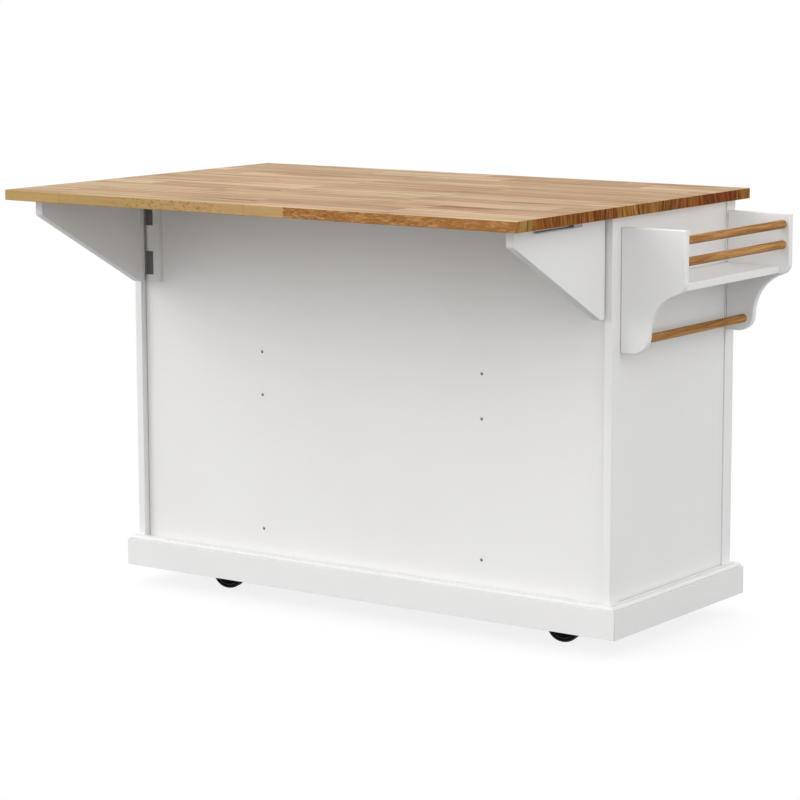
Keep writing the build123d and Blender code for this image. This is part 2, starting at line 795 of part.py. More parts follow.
def build():
    os.makedirs("parts", exist_ok=True)

    save("worktop", worktop())
    save("drop_leaf", drop_leaf())
    fixed, moving = leaf_hinges()
    save("leaf_hinge_plates", *fixed)
    save("leaf_hinge_flaps", *moving)
    save("leaf_stops", leaf_stop(), mirror_x(leaf_stop()))

    save("corner_posts", *posts())
    save("side_panels", side_panel(-1), side_panel(1))
    save("back_sill", back_sill())
    save("back_panel", back_panel())
    save("partitions", *[partition(x) for x in partition_xs])
    save("bottom_panel", bottom_panel())
    save("back_rails", *back_rails())
    save("face_frame", *face_frame())
    for name, board in plinth_boards().items():
        save(f"plinth_{name}", board)
    save("shelves", *[shelf(wall) for wall in bay_walls])
    save("shelf_cleats", *shelf_cleats())
    save("door_catches", *catches())

    centre = sum(centre_bay) / 2
    doors = {
        "left": (left_bay[0], left_bay[1] - door_gap, 1, side_door_top),
        "centre_left": (centre_bay[0], centre - door_gap / 2, 1, opening_top),
        "centre_right": (centre_bay[1], centre + door_gap / 2, -1, opening_top),
        "right": (right_bay[1], right_bay[0] + door_gap, -1, side_door_top),
    }
    plates = []
    for name, (frame_x, free_x, hand, top) in doors.items():
        x = sorted((frame_x + hand * door_gap, free_x))
        save(f"door_{name}", *door(x, top))
        fixed, moving = door_hinges(frame_x + hand * door_gap / 2, hand, top)
        handle = knob(free_x - hand * knob_from_edge, knob_door_height)
        save(f"door_{name}_fittings", *moving, handle)
        plates += fixed
    save("door_hinge_plates", *plates)

    channels, spacers = [], []
    for name, bay, walls in (
        ("left", left_bay, bay_walls[0]),
        ("right", right_bay, bay_walls[2]),
    ):
        front, box = drawer(bay)
        fixed, bars, blocks = slide_pair(bay, walls)
        channels += fixed
        spacers += blocks
        save(f"drawer_{name}_front", front)
        save(f"drawer_{name}_box", *box)
        handle = knob(sum(bay) / 2, (drawer_bottom + opening_top) / 2)
        save(f"drawer_{name}_fittings", *bars, handle)
    save("drawer_channels", *channels)
    save("drawer_spacers", *spacers)

    fixed, moving = bracket_hinges()
    save("bracket_right", bracket())
    save("bracket_left", mirror_x(bracket()))
    save("bracket_right_hinges", *moving)
    save("bracket_left_hinges", *[mirror_x(half_hinge) for half_hinge in moving])
    save("bracket_hinge_plates", *fixed, *[mirror_x(plate) for plate in fixed])
    save("bracket_battens", batten(), mirror_x(batten()))

    fork = caster_fork()
    for name in caster_places:
        place = caster_place(name)
        if name.startswith("front"):
            save(f"caster_fork_{name}", place * (fork + brake_pin_bar()))
            save(f"caster_brake_{name}", place * brake_lever())
        else:
            save(f"caster_fork_{name}", place * fork)
        save(f"caster_wheel_{name}", place * caster_wheel())
    save("caster_plates", *[Pos(x, y, 0) * caster_mount() for x, y in caster_places.values()])

    save("rack_panels", *rack_panels())
    save("rack_shelf", rack_shelf())
    save("rack_rails", rack_bar(*rack_bar_places[0]), rack_bar(*rack_bar_places[1]))
    save("towel_bar", rack_bar(*rack_bar_places[2]))
    save("wood_screws", *[wood_screw(*screw) for screw in back_screws()])


build()
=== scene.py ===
import json
import math

import bmesh
import bpy
from mathutils import Matrix, Vector

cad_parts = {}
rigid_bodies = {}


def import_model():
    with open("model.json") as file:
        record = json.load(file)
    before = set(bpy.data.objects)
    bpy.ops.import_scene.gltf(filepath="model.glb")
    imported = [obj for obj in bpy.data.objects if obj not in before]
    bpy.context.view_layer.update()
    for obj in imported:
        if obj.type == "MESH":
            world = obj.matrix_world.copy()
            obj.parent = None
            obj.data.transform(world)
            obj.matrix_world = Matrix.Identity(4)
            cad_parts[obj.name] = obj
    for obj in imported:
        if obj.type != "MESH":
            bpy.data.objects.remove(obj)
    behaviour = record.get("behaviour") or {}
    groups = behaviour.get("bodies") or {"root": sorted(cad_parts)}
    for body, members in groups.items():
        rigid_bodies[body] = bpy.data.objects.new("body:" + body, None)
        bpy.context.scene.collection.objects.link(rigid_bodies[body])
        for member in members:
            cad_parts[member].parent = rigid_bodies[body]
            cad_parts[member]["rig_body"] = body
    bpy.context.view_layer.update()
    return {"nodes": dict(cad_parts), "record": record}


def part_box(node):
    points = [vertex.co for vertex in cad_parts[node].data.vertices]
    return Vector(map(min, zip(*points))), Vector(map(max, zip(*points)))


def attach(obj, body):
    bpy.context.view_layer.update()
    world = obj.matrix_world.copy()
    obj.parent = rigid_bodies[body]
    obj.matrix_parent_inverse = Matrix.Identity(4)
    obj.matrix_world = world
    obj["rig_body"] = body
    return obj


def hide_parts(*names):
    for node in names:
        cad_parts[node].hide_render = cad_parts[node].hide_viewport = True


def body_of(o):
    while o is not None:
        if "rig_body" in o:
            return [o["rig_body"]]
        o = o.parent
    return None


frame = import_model()
nodes = frame["nodes"]
scene = bpy.context.scene
scene.view_settings.view_transform = "Standard"
print("frame loaded:", len(nodes), "nodes")

view = {
    "place": (-3.4944, 4.9120, 1.4330),
    "yaw": 35.474,  # degrees round from the back of the island
    "pitch": 9.038,  # degrees down
    "roll": -0.176,
    "lens": 128.36,
    "sensor": 36.0,
    "clip": (0.05, 60),  # metres
}


def makeCamera():
    yaw, pitch = math.radians(view["yaw"]), math.radians(view["pitch"])
    ahead = Vector(
        (
            math.sin(yaw) * math.cos(pitch),
            -math.cos(yaw) * math.cos(pitch),
            -math.sin(pitch),
        )
    )
    across = Vector((-math.cos(yaw), -math.sin(yaw), 0))
    above = across.cross(ahead)
    turn = math.radians(view["roll"])
    across, above = (
        across * math.cos(turn) + above * math.sin(turn),
        above * math.cos(turn) - across * math.sin(turn),
    )
    data = bpy.data.cameras.new("camera")
    data.lens, data.sensor_width = view["lens"], view["sensor"]
    data.clip_start, data.clip_end = view["clip"]
    camera = bpy.data.objects.new("camera", data)
    scene.collection.objects.link(camera)
    turned = Matrix((across, above, -ahead)).transposed().to_4x4()
    camera.matrix_world = Matrix.Translation(view["place"]) @ turned
    scene.camera = camera


makeCamera()
print("camera placed")

white = (1, 1, 1, 1)


def opaque(colour):  # a plain colour gets its alpha, a socket stays as it is
    return (*colour, 1) if isinstance(colour, tuple) else colour


# a shader socket that is used in plain sums
class Wire:
    def __init__(self, tree, socket=None):
        self.tree, self.socket = tree, socket

    def make(self, kind, settings=None, sockets=None, out=0):
        node = self.tree.nodes.new(kind)
        for key, value in (settings or {}).items():
            if key == "stops":
                ramp = node.color_ramp
                while len(ramp.elements) < len(value):
                    ramp.elements.new(0.5)
                for stop, (place, colour) in zip(ramp.elements, value):
                    stop.position, stop.color = place, opaque(colour)
            else:
                setattr(node, key, value)
        for key, value in (sockets or {}).items():
            if isinstance(value, Wire):
                self.tree.links.new(value.socket, node.inputs[key])
            else:
                node.inputs[key].default_value = value
        return Wire(self.tree, node.outputs[out] if node.outputs else None)

    def math(self, operation, *others):
        values = dict(enumerate((self, *others)))
        return self.make("ShaderNodeMath", {"operation": operation}, values)

    def __add__(self, other):
        return self.math("ADD", other)

    __radd__ = __add__

    def __sub__(self, other):
        return self.math("SUBTRACT", other)

    def __rsub__(self, other):
        return (self * -1) + other

    def __mul__(self, other):
        return self.math("MULTIPLY", other)

    __rmul__ = __mul__

    def __truediv__(self, other):
        return self.math("DIVIDE", other)

    def __pow__(self, other):
        return self.math("POWER", other)

    def floor(self):
        return self.math("FLOOR")

    def within(self, low, high):  # 0 below low, 1 above high, smooth between
        return self.make(
            "ShaderNodeMapRange",
            {"interpolation_type": "SMOOTHSTEP"},
            {"Value": self, "From Min": low, "From Max": high},
        )

    def blendTo(self, other, factor):  # colours: this one, then the other
        return self.make(
            "ShaderNodeMix",
            {"data_type": "RGBA"},
            {0: factor, 6: self, 7: opaque(other)},
            out=2,
        )

    def tint(self, colour, factor=1.0):  # multiplies a colour by another
        return self.make(
            "ShaderNodeMix",
            {"data_type": "RGBA", "blend_type": "MULTIPLY"},
            {0: factor, 6: self, 7: opaque(colour)},
            out=2,
        )

    def split(self):
        node = self.make("ShaderNodeSeparateXYZ", None, {0: self})
        outs = node.socket.node.outputs
        return tuple(Wire(self.tree, outs[i]) for i in range(3))

    def join(self, x, y, z):
        return self.make("ShaderNodeCombineXYZ", None, {0: x, 1: y, 2: z})

    def noise(self, where, scale, detail, rough, warp=0.0):
        return self.make(
            "ShaderNodeTexNoise",
            None,
            {
                "Vector": where,
                "Scale": scale,
                "Detail": detail,
                "Roughness": rough,
                "Distortion": warp,
            },
        )

    def chance(self, where):  # a fixed random number for each whole place
        return self.make(
            "ShaderNodeTexWhiteNoise", {"noise_dimensions": "3D"}, {"Vector": where}
        )

    def grey(self, value):  # a colour from a number
        return self.make("ShaderNodeCombineColor", None, {0: value, 1: value, 2: value})

    def plain(self, colour):  # a fixed colour
        return self.grey(1.0).tint(colour)

    def ramp(self, stops):  # the colour that the stops give this number
        return self.make("ShaderNodeValToRGB", {"stops": stops}, {0: self})


def newMaterial(name):
    material = bpy.data.materials.new(name)
    material.use_nodes = True
    material.node_tree.nodes.clear()
    wire = Wire(material.node_tree)
    where = wire.make("ShaderNodeTexCoord", out="Object")
    return material, wire, where


def finishMaterial(wire, colour, rough, height, depth, fixed=None):
    bumpSockets = {"Height": height, "Distance": depth, "Strength": 1.0}
    bump = wire.make("ShaderNodeBump", None, bumpSockets)
    sockets = {"Base Color": colour, "Roughness": rough, "Normal": bump, **(fixed or {})}
    shader = wire.make("ShaderNodeBsdfPrincipled", None, sockets)
    wire.make("ShaderNodeOutputMaterial", None, {"Surface": shader})


paint = {
    "colour": (0.815, 0.812, 0.806),
    "shade": (0.775, 0.768, 0.758),
    "rough": 0.42,
    "peel": 0.00006,  # depth
    "cloudScale": 3.0,
    "speckScale": 90.0,
    "peelScale": 520.0,
}


def makePaint():
    material, wire, where = newMaterial("whiteSatinPaint")
    cloud = wire.noise(where, paint["cloudScale"], 4.0, 0.6)
    speck = wire.noise(where, paint["speckScale"], 3.0, 0.6)
    peel = wire.noise(where, paint["peelScale"], 2.0, 0.5)
    mask = cloud.within(0.35, 0.75) * 0.5 + speck.within(0.4, 0.8) * 0.12
    colour = wire.plain(paint["colour"]).blendTo(paint["shade"], mask)
    rough = paint["rough"] + (cloud - 0.5) * 0.10 + (speck - 0.5) * 0.06
    height = peel + speck * 0.8
    finishMaterial(wire, colour, rough, height, paint["peel"])
    return material


block = {
    # where one stave meets the next, across the top
    "joints": (
        -0.391, -0.313, -0.235, -0.157, -0.079, 0.007,
        0.0928, 0.159, 0.245, 0.323, 0.399,
    ),
    "segment": 0.40,  # length of one lamella between finger joints
    "finger": 0.0045,
    "fingerReach": 0.009,
    "pale": (0.590, 0.435, 0.272),
    "yellow": (0.435, 0.300, 0.148),
    "pink": (0.455, 0.262, 0.150),
    "brown": (0.270, 0.150, 0.062),
    "streak": (0.240, 0.085, 0.030),
    "olive": (0.220, 0.145, 0.052),
    "golden": (0.500, 0.330, 0.125),
    "figure": (0.300, 0.125, 0.034),
    "veinTint": (0.68, 0.44, 0.31),
    "heartTint": (0.60, 0.33, 0.24),
    "speckTint": (0.62, 0.42, 0.26),
    "knotTint": (0.50, 0.30, 0.17),
    "poreTint": (0.55, 0.40, 0.28),
    "glueTint": (0.42, 0.28, 0.18),
    "figureTo": -0.037,  # the long edge is figured from here to the left end
    "figureBlend": 0.004,
    "specks": ((0.08, 0.18), (0.44, 0.34)),  # where they come in and go out
    "knots": (-0.45, -0.15),
    # darker heartwood: place, half length and half width
    "redHeart": (
        (-0.34, 0.268, 0.13, 0.018),
        (-0.40, 0.115, 0.09, 0.016),
        (-0.43, -0.42, 0.12, 0.030),
    ),
    "rough": 0.62,
    "grainDepth": 0.00018,
    "gloss": 0.10,
}


def longEdge(wire, x, y, z, broad, bands):  # golden, and figured towards the left end
    curl = wire.noise(wire.join(x * 26.0, y * 30.0, z * 130.0), 1.0, 5.0, 0.68, 1.6)
    fleck = wire.noise(wire.join(x * 130.0, y * 60.0, z * 420.0), 1.0, 3.0, 0.6, 0.6)
    golden = wire.grey(0.74 + broad * 0.36).tint(block["golden"])
    golden = golden.blendTo(block["pink"], bands.within(0.48, 0.62) * 0.35)
    comeIn, goOut = block["specks"]
    speckled = x.within(*comeIn) * x.within(*goOut)
    specks = fleck.within(0.52, 0.62) * (0.2 + speckled * 0.6)
    golden = golden.tint(block["speckTint"], specks)
    knotty = x.within(*block["knots"]) * 0.55 + 0.30
    figured = wire.grey(0.66 + curl * 0.9).tint(block["figure"])
    figured = figured.blendTo(block["golden"], curl.within(0.47, 0.62) * 0.60)
    figured = figured.tint(block["knotTint"], fleck.within(0.52, 0.64) * knotty)
    change, blend = block["figureTo"], block["figureBlend"]
    return golden.blendTo(figured, x.within(change + blend, change - blend))


endGrain = {
    "red": (
        (0.38, (0.022, 0.005, 0.001)),
        (0.47, (0.150, 0.036, 0.002)),
        (0.60, (0.360, 0.125, 0.018)),
    ),
    "olive": (
        (0.38, (0.090, 0.034, 0.006)),
        (0.49, (0.290, 0.150, 0.032)),
        (0.62, (0.450, 0.275, 0.075)),
    ),
    "middle": (4, 6),  # olive too, though less: the staves between these joints
    "farTint": (0.74, 0.54, 0.38),
    "farFrom": 0.02,
    "farTo": -0.36,
    "lean": 120.0,
}


def endColour(wire, y, z, stave, staveChance):  # red-brown and olive, with upright lines
    lean = (staveChance - 0.5) * endGrain["lean"]
    lines = wire.noise(
        wire.join(stave * 3.1, y * 330.0 + z * lean, z * 16.0), 1.0, 4.0, 0.7
    )
    bars = wire.noise(wire.join(stave * 5.3, y * 110.0 + z * lean, z * 8.0), 1.0, 2.0, 0.5)
    red = (lines * 0.7 + bars * 0.3).ramp(endGrain["red"])
    olive = (lines * 0.6 + bars * 0.4).ramp(endGrain["olive"])
    joints = block["joints"]
    outer = y.math("GREATER_THAN", joints[-1]) + y.math("LESS_THAN", joints[0])
    low, high = (joints[i] for i in endGrain["middle"])
    middle = y.math("GREATER_THAN", low) * y.math("LESS_THAN", high)
    oliveShare = (outer + middle * 0.45 + staveChance * 0.28).math("MINIMUM", 1.0)
    far = y.within(endGrain["farFrom"], endGrain["farTo"]) * 0.9
    return red.blendTo(olive, oliveShare).tint(endGrain["farTint"], far), lines


def makeButcherBlock():
    material, wire, where = newMaterial("butcherBlock")
    x, y, z = where.split()
    stave, seam = 0.0, 1.0
    for joint in block["joints"]:
        stave = y.math("GREATER_THAN", joint) + stave
        seam = (y - joint).math("ABSOLUTE").math("MINIMUM", seam)
    staveChance = wire.chance(wire.join(stave, 3.0, 7.0))
    zigzag = (y / block["finger"]).math("PINGPONG", 1.0) * block["fingerReach"]
    uneven = (x * 5.1 + staveChance * 9.0).math("SINE") * 0.05
    along = (x + zigzag + staveChance * 1.7 + uneven) / block["segment"] + 20.0
    segment = along.floor()
    pick = wire.chance(wire.join(stave, segment, 1.0))
    pickTwo = wire.chance(wire.join(stave, segment, 5.0))
    pickThree = wire.chance(wire.join(stave, segment, 11.0))
    shift = pick * 17.0 + stave * 0.73
    # grain: slow bands, fine fibre and pores, all drawn out along the staves
    broad = wire.noise(
        wire.join(x * 2.3 + shift, y * 34.0 + shift, z * 16.0), 1.0, 3.0, 0.5, 0.4
    )
    bands = wire.noise(
        wire.join(x * 2.2 + shift * 2.0, y * 62.0 - shift, z * 30.0), 1.0, 3.0, 0.45, 0.5
    )
    fibre = wire.noise(
        wire.join(x * 6.0 + shift, y * 380.0, z * 300.0 + shift), 1.0, 4.0, 0.62
    )
    pore = wire.noise(
        wire.join(x * 70.0 + shift, y * 1500.0, z * 1500.0), 1.0, 2.0, 0.5
    )
    vein = wire.noise(
        wire.join(x * 4.2 - shift, y * 88.0 + shift, z * 40.0), 1.0, 3.0, 0.5, 0.4
    )
    patch = wire.noise(wire.join(x * 2.2, y * 5.0, 4.0), 1.0, 2.0, 0.5)
    colour = (pick * 0.32 + bands * 0.60 + 0.11).ramp(
        (
            (0.16, block["brown"]),
            (0.34, block["pink"]),
            (0.52, block["yellow"]),
            (0.76, block["pale"]),
        )
    )
    colour = colour.blendTo(block["pink"], pickTwo * 0.36)
    streaks = broad.within(0.50, 0.70) * (0.12 + pickThree * 0.50)
    colour = colour.blendTo(block["streak"], streaks)
    colour = colour.blendTo(block["olive"], bands.within(0.52, 0.40) * 0.30)
    colour = colour.blendTo(block["pale"], broad.within(0.46, 0.32) * 0.45)
    veins = vein.within(0.49, 0.62) * patch.within(0.40, 0.58)
    colour = colour.tint(block["veinTint"], veins * 0.75)
    for centreX, centreY, long, wide in block["redHeart"]:
        u, v = (x - centreX) / long, (y - centreY) / wide
        away = ((u * u) + (v * v)).math("SQRT") + (broad - 0.5) * 2.2
        colour = colour.tint(block["heartTint"], away.within(1.05, 0.35) * 0.75)
    facing = wire.make("ShaderNodeTexCoord", out="Normal").split()
    sides = facing[1].math("ABSOLUTE").within(0.6, 0.8)
    colour = colour.blendTo(longEdge(wire, x, y, z, broad, bands), sides)
    shade = 0.93 + (fibre - 0.5) * 0.34 + (pickThree - 0.5) * 0.10
    colour = colour.tint(wire.grey(shade))
    colour = colour.tint(block["poreTint"], pore.within(0.64, 0.76) * 0.45)
    ends = facing[0].math("ABSOLUTE").within(0.6, 0.8)
    cutWood, lines = endColour(wire, y, z, stave, staveChance)
    colour = colour.blendTo(cutWood, ends)
    # glue lines between staves and at the fingers
    cut = (along.math("FRACT") - 0.5).math("ABSOLUTE")
    joint = seam.within(0.0009, 0.0002) * 0.55
    joint = joint + cut.within(0.4970, 0.4992) * (1 - ends) * 0.30
    colour = colour.tint(block["glueTint"], joint)
    rough = block["rough"] + (fibre - 0.5) * 0.16 + pore.within(0.6, 0.8) * 0.10
    height = fibre * 0.5 + pore * 0.25 - joint * 0.8 + lines * ends * 0.5
    fixed = {"Specular IOR Level": block["gloss"]}
    finishMaterial(wire, colour, rough, height, block["grainDepth"], fixed)
    return material


railWood = {
    "tones": (
        (0.28, (0.220, 0.088, 0.020)),
        (0.5, (0.440, 0.220, 0.062)),
        (0.72, (0.560, 0.310, 0.105)),
    ),
    "veinTint": (0.60, 0.40, 0.24),
    "poreTint": (0.40, 0.25, 0.15),
    "rough": 0.50,
    "grainDepth": 0.00018,
    "gloss": 0.12,
    "bands": 40.0,  # bands of height in a metre, each with its own grain
}


def makeRailWood():
    material, wire, where = newMaterial("oiledRailWood")
    x, y, z = where.split()
    rod = (z * railWood["bands"]).floor()
    fibre = wire.noise(wire.join(x * 420.0, y * 9.0 + rod * 3.0, z * 420.0), 1.0, 4.0, 0.6)
    broad = wire.noise(wire.join(x * 60.0, y * 3.0 + rod, z * 60.0), 1.0, 3.0, 0.6, 0.4)
    pore = wire.noise(wire.join(x * 1500.0, y * 70.0, z * 1500.0), 1.0, 2.0, 0.5)
    vein = wire.noise(
        wire.join(x * 230.0, y * 11.0 + rod * 5.0, z * 230.0), 1.0, 3.0, 0.6, 0.5
    )
    colour = broad.ramp(railWood["tones"])
    colour = colour.tint(wire.grey(0.98 + (fibre - 0.5) * 0.85))
    colour = colour.tint(railWood["veinTint"], vein.within(0.44, 0.62) * 0.75)
    colour = colour.tint(railWood["poreTint"], pore.within(0.60, 0.74) * 0.7)
    rough, height = railWood["rough"] + fibre * 0.12, fibre + pore * 0.4
    fixed = {"Specular IOR Level": railWood["gloss"]}
    finishMaterial(wire, colour, rough, height, railWood["grainDepth"], fixed)
    return material


drawerWood = {
    "tones": (
        (0.35, (0.50, 0.345, 0.19)),
        (0.5, (0.62, 0.455, 0.27)),
        (0.6, (0.56, 0.395, 0.22)),
        (0.75, (0.66, 0.50, 0.32)),
    ),
    "rough": 0.5,
    "grainDepth": 0.00015,
}


def makeDrawerWood():
    material, wire, where = newMaterial("paleDrawerWood")
    x, y, z = where.split()
    fibre = wire.noise(wire.join(x * 150.0, y * 5.0, z * 260.0), 1.0, 4.0, 0.6)
    rings = wire.noise(wire.join(x * 18.0, y * 1.4, z * 40.0), 1.0, 3.0, 0.5, 1.4)
    colour = rings.ramp(drawerWood["tones"]).tint(wire.grey(0.92 + (fibre - 0.5) * 0.3))
    rough = drawerWood["rough"] + fibre * 0.1
    finishMaterial(wire, colour, rough, fibre, drawerWood["grainDepth"])
    return material


# depths of the fine relief, and how large the marks on metal and plastic are
relief = {"metal": 0.00004, "plastic": 0.00005, "smudgeScale": 14.0, "cloudScale": 30.0}


def makeMetal(name, pale, dark, rough, stretch, metallic=1.0):
    material, wire, where = newMaterial(name)
    x, y, z = where.split()
    brushed = wire.noise(
        wire.join(x * stretch[0], y * stretch[1], z * stretch[2]), 1.0, 4.0, 0.65
    )
    smudge = wire.noise(where, relief["smudgeScale"], 4.0, 0.6)
    colour = wire.plain(pale).blendTo(dark, smudge.within(0.4, 0.75) * 0.6)
    colour = colour.tint(wire.grey(0.94 + (brushed - 0.5) * 0.25))
    roughness = rough + (smudge - 0.5) * 0.16 + (brushed - 0.5) * 0.12
    finishMaterial(wire, colour, roughness, brushed, relief["metal"], {"Metallic": metallic})
    return material


def makePlastic(name, colour, shade, rough, grain, gloss=0.5):
    material, wire, where = newMaterial(name)
    cloud = wire.noise(where, relief["cloudScale"], 3.0, 0.6)
    fine = wire.noise(where, grain, 3.0, 0.6)
    tone = wire.plain(colour).blendTo(shade, cloud.within(0.35, 0.7))
    roughness, fixed = rough + (fine - 0.5) * 0.2, {"Specular IOR Level": gloss}
    finishMaterial(wire, tone, roughness, fine, relief["plastic"], fixed)
    return material


finish = {
    "white_paint": makePaint(),
    "butcher_block": makeButcherBlock(),
    "rail_wood": makeRailWood(),
    "drawer_wood": makeDrawerWood(),
    "steel": makeMetal(
        "satinSteel", (0.48, 0.472, 0.458), (0.36, 0.354, 0.344), 0.30, (500, 500, 40)
    ),
    # dark steel whose darkness is painted shade: the bracket hinges, their wall plates, and the
    # middles and lower rims of the screw heads
    "bracketSteel": makeMetal(
        "shadedSteel", (0.17, 0.160, 0.160), (0.10, 0.094, 0.094), 0.48, (500, 500, 40), 0.5
    ),
    "dark_steel": makeMetal(
        "darkSteel", (0.42, 0.375, 0.38), (0.30, 0.265, 0.27), 0.42, (500, 40, 500), 0.5
    ),
    "black_wheel": makePlastic(
        "blackTread", (0.004, 0.004, 0.004), (0.008, 0.008, 0.008), 0.50, 900, 0.06
    ),
    # paler plastic for rings on the wheels' hub and rims: painted highlight
    "wheelRing": makePlastic(
        "rimHighlightPlastic", (0.110, 0.110, 0.110), (0.075, 0.075, 0.075), 0.55, 900, 0.12
    ),
    "black_plastic": makePlastic(
        "blackPlastic", (0.016, 0.016, 0.017), (0.028, 0.028, 0.029), 0.40, 1400
    ),
    "white_plastic": makePlastic(
        "whitePlastic", (0.78, 0.78, 0.77), (0.72, 0.72, 0.71), 0.35, 1200
    ),
}
print("materials made:", len(finish))

for name, node in nodes.items():
    for place in node.material_slots:
        slotName = place.material.name.split(".")[0] if place.material else ""
        if slotName in finish:
            place.material = finish[slotName]
        else:
            print("no finish for", name, slotName)


light = {
    "even": 0.92,
    # direction it comes from, strength, how narrow
    "lobes": (
        ((0.63, 0.63, 0.42), 3.12, 10.0),
        ((-0.63, 0.63, 0.45), 0.85, 10.0),
        ((-0.99, 0.06, 0.10), 1.32, 12.0),
        ((0.62, -0.70, 0.34), 0.95, 4.0),
    ),
}


def plainRay(wire):  # 1 for what the lens, a gloss or a clear piece looks at
    kinds = ("Is Camera Ray", "Is Glossy Ray", "Is Transmission Ray")
    seen, glossy, through = (wire.make("ShaderNodeLightPath", out=kind) for kind in kinds)
    return (seen + glossy + through).math("MINIMUM", 1.0)


def makeWorld():
    world = bpy.data.worlds.new("softDome")
    scene.world = world
    world.use_nodes = True
    tree = world.node_tree
    tree.nodes.clear()
    wire = Wire(tree)
    outward = wire.make("ShaderNodeTexCoord", out="Generated")
    strength = light["even"]
    for towards, power, narrow in light["lobes"]:
        lean = wire.make(
            "ShaderNodeVectorMath",
            {"operation": "DOT_PRODUCT"},
            {0: outward, 1: Vector(towards).normalized()},
            out="Value",
        )
        strength = lean.math("MAXIMUM", 0.0) ** narrow * power + strength
    dome = wire.make("ShaderNodeBackground", None, {"Color": white, "Strength": strength})
    back = wire.make("ShaderNodeBackground", None, {"Color": white, "Strength": 1.0})
    both = wire.make("ShaderNodeMixShader", None, {0: plainRay(wire), 1: dome, 2: back})
    wire.make("ShaderNodeOutputWorld", None, {"Surface": both})


floor = {
    "reach": 9.0,
    "sides": 96,
    "bounce": 0.21,
    "grainScale": 40.0,
    "grain": 0.02,
    "shown": (0.98, 0.98, 0.98, 1),
    "shadow": 0.16,  # share of the object's own shadow that shows
    "fadeFrom": 0.7,
    "fadeTo": 1.5,
}


def makeFloor():
    bm = bmesh.new()
    bmesh.ops.create_circle(
        bm, cap_ends=True, radius=floor["reach"], segments=floor["sides"]
    )
    mesh = bpy.data.meshes.new("floor")
    bm.to_mesh(mesh)
    bm.free()
    ground = bpy.data.objects.new("floor", mesh)
    scene.collection.objects.link(ground)
    material, wire, where = newMaterial("paleFloor")
    grain = wire.noise(where, floor["grainScale"], 3.0, 0.6)
    tone = wire.grey(floor["bounce"] + (grain - 0.5) * floor["grain"])
    bounce = wire.make("ShaderNodeBsdfDiffuse", None, {"Color": tone})
    shown = wire.make("ShaderNodeBsdfDiffuse", None, {"Color": floor["shown"]})
    glow = wire.make("ShaderNodeEmission", None, {"Color": white, "Strength": 1.0})
    x, y, z = where.split()
    far = ((x * x) + (y * y)).math("SQRT").within(floor["fadeFrom"], floor["fadeTo"])
    clear = (1 - floor["shadow"]) + far * floor["shadow"]
    looked = wire.make("ShaderNodeMixShader", None, {0: clear, 1: shown, 2: glow})
    both = wire.make("ShaderNodeMixShader", None, {0: plainRay(wire), 1: bounce, 2: looked})
    wire.make("ShaderNodeOutputMaterial", None, {"Surface": both})
    mesh.materials.append(material)


makeWorld()
makeFloor()
print("floor and light made")


def bodyOf(name):
    return body_of(nodes[name])[0]


shaping = {
    "smooth": 35,  # degrees up to which neighbouring faces are shaded as one
    "flatOver": 0.0004,  # faces larger than this are shaded flat
    "sharp": 30,  # degrees from which an edge is softened
    "copySharp": 32,  # the same for a copy
    "arcStep": 0.13,  # radians
    "weld": 0.00001,
    "turnedWeld": 0.000005,
    "copyWeld": 0.000002,
    "copyFlat": 0.4,  # degrees up to which neighbouring faces of a copy are one
}


def addPiece(name, bm, slotName, replaced, *finishNames, flatOver=shaping["flatOver"]):
    mesh = bpy.data.meshes.new(name)
    bm.to_mesh(mesh)
    bm.free()
    mesh.shade_smooth()
    mesh.set_sharp_from_angle(angle=math.radians(shaping["smooth"]))
    for polygon in mesh.polygons:  # broad flat faces keep their own normal
        if polygon.area > flatOver:
            polygon.use_smooth = False
    for finishName in finishNames or (slotName,):
        mesh.materials.append(finish[finishName])
    piece = bpy.data.objects.new(name, mesh)
    scene.collection.objects.link(piece)
    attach(piece, bodyOf(replaced[0]))
    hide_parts(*replaced)


def joinPart(bm, part):
    bmesh.ops.recalc_face_normals(part, faces=part.faces)
    mesh = bpy.data.meshes.new("part")
    part.to_mesh(mesh)
    part.free()
    bm.from_mesh(mesh)
    bpy.data.meshes.remove(mesh)


def softenEdges(part, width, segments=3, angle=shaping["sharp"]):
    edges = [
        edge
        for edge in part.edges
        if len(edge.link_faces) == 2 and edge.calc_face_angle() > math.radians(angle)
    ]
    bmesh.ops.bevel(
        part,
        geom=edges,
        offset=width,
        affect="EDGES",
        segments=segments,
        profile=0.5,
        material=-1,
        clamp_overlap=True,
    )


def newBox(low, high):  # a part that fills the space between two corners
    low, high = Vector(low), Vector(high)
    part = bmesh.new()
    scaled = Matrix.Translation((low + high) / 2) @ Matrix.Diagonal((*(high - low), 1))
    bmesh.ops.create_cube(part, size=1, matrix=scaled)
    return part


def addBoard(bm, low, high, soft, segments=3, turn=None):
    part = newBox(low, high)
    softenEdges(part, soft, segments)
    if turn is not None:
        bmesh.ops.transform(part, matrix=turn, verts=part.verts)
    joinPart(bm, part)


def axes(origin, along, up, out):  # a matrix from an origin and where its axes point
    turned = Matrix((along, up, out)).transposed().to_4x4()
    return Matrix.Translation(origin) @ turned


